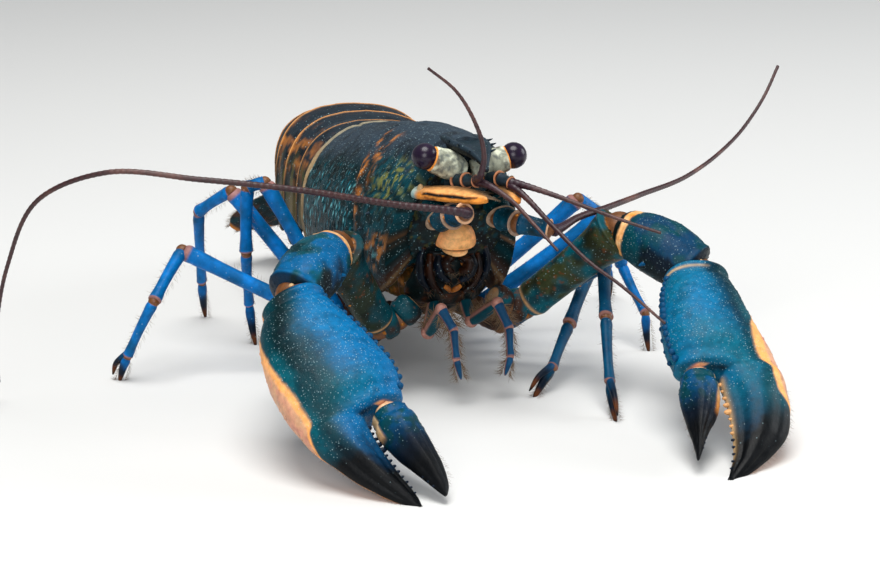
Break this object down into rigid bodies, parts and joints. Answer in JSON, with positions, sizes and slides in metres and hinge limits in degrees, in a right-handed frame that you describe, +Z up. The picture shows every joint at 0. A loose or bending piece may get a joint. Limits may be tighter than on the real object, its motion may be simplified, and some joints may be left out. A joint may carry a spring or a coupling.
{
  "type": "crayfish model",
  "caption": "Still life-size model of a cherax crayfish standing with both claws forward and its feelers spread.",
  "frame": {"origin": "centre of the model's box at floor level", "axes": "+Z up; the head faces -Y and the tail +Y; the animal's left side is +X"},
  "size_m": [0.1282, 0.1236, 0.0474],
  "materials": {
    "shell": "satin, dark green-black with pale grains",
    "belly": "satin, brown and orange",
    "claw": "satin, teal to blue with pale speckles",
    "leg": "satin, bright blue with pale bands",
    "feeler": "satin, ringed red-brown",
    "face": "satin, orange and brown",
    "eye": "gloss, purple-black"
  },
  "bodies": {
    "root": {"carapace": "shell", "sternum": "belly", "head": "face", "abdomen_1": "shell", "abdomen_2": "shell", "abdomen_3": "shell", "abdomen_4": "shell", "abdomen_5": "shell", "abdomen_6": "shell", "telson": "shell", "uropod_inner_R": "shell", "uropod_inner_L": "shell", "uropod_outer_R": "shell", "uropod_outer_L": "shell", "eye_R": "eye", "eye_L": "eye", "scale_R": "face", "scale_L": "face", "antenna_base_R": "face", "antenna_base_L": "face", "antenna_R": "feeler", "antenna_L": "feeler", "antennule_R": "feeler", "antennule_L": "feeler", "maxilliped_R": "leg", "maxilliped_L": "leg", "claw_arm_R": "claw", "claw_arm_L": "claw", "claw_wrist_R": "claw", "claw_wrist_L": "claw", "claw_hand_R": "claw", "claw_hand_L": "claw", "claw_finger_R": "claw", "claw_finger_L": "claw", "leg_upper_2_R": "leg", "leg_upper_2_L": "leg", "leg_upper_3_R": "leg", "leg_upper_3_L": "leg", "leg_upper_4_R": "leg", "leg_upper_4_L": "leg", "leg_upper_5_R": "leg", "leg_upper_5_L": "leg", "leg_lower_2_R": "leg", "leg_lower_2_L": "leg", "leg_lower_3_R": "leg", "leg_lower_3_L": "leg", "leg_lower_4_R": "leg", "leg_lower_4_L": "leg", "leg_lower_5_R": "leg", "leg_lower_5_L": "leg"}
  },
  "joints": []
}
